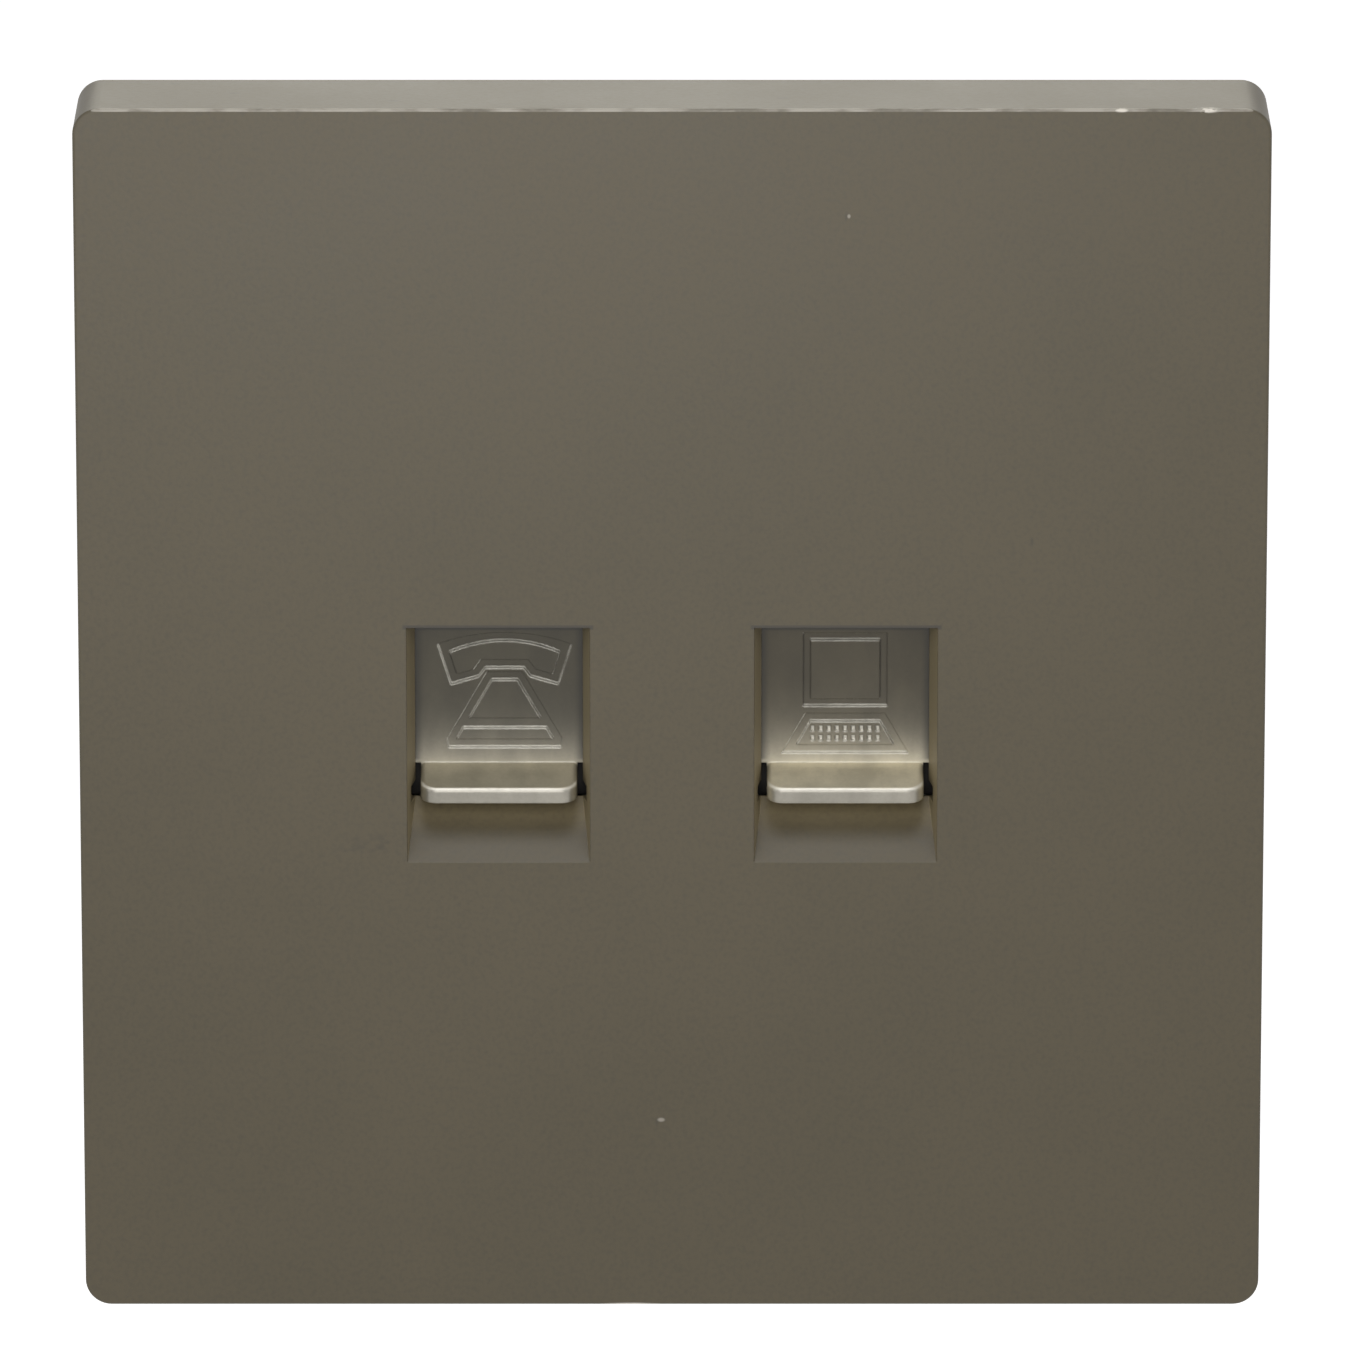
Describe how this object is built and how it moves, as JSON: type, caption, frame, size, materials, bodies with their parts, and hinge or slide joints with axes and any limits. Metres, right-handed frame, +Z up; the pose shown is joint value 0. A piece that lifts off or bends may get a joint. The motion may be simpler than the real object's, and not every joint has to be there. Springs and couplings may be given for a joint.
{
  "type": "telephone wall socket",
  "caption": "Flush wall plate with a telephone jack and a computer line jack, each behind a sliding sprung shutter.",
  "frame": {"origin": "on the wall plane, behind the middle of the plate, on the back face of the mounting frame", "axes": "+X to the right and +Z up as seen from the front, -Y out of the wall, so the back of the frame faces +Y"},
  "size_m": [0.086, 0.0298, 0.09],
  "materials": {
    "plate_lacquer": "satin metallic lacquer, dark bronze grey, on moulded plastic",
    "shutter_lacquer": "satin metallic lacquer, champagne, on moulded plastic",
    "white_plastic": "fine moulded texture",
    "grey_plastic": "fine moulded texture",
    "black_plastic": "fine moulded texture",
    "board_laminate": "green solder mask over glass laminate",
    "contact_metal": "thin gold plate",
    "terminal_steel": "bright zinc plate",
    "spring_steel": "drawn wire"
  },
  "bodies": {
    "socket": {"cover_plate": "plate_lacquer", "mounting_frame": "white_plastic", "telephone_shutter_spring": "spring_steel", "telephone_shutter_guide": "grey_plastic", "telephone_housing": "grey_plastic", "telephone_jack": "black_plastic", "telephone_contact_carrier": "black_plastic", "telephone_contacts": "contact_metal", "telephone_circuit_board": "board_laminate", "telephone_terminal_block": "black_plastic", "telephone_clamp_plates": "terminal_steel", "telephone_terminal_screws": "terminal_steel", "computer_shutter_spring": "spring_steel", "computer_shutter_guide": "grey_plastic", "computer_housing": "grey_plastic", "computer_jack": "black_plastic", "computer_contact_carrier": "black_plastic", "computer_contacts": "contact_metal", "computer_circuit_board": "board_laminate", "computer_wire_block": "white_plastic", "computer_blades": "contact_metal", "computer_wire_cap": "white_plastic"},
    "telephone_shutter": {"telephone_shutter": "shutter_lacquer"},
    "computer_shutter": {"computer_shutter": "shutter_lacquer"}
  },
  "joints": [
    {"name": "telephone_shutter_slide", "type": "slide", "parent": "socket", "child": "telephone_shutter", "axis": [0, 0, 1], "range_m": [0, 0.0104], "stiffness_N_per_m": 40, "springref_m": -0.004, "deforming": ["telephone_shutter_spring"]},
    {"name": "computer_shutter_slide", "type": "slide", "parent": "socket", "child": "computer_shutter", "axis": [0, 0, 1], "range_m": [0, 0.0104], "stiffness_N_per_m": 40, "springref_m": -0.004, "deforming": ["computer_shutter_spring"]}
  ]
}
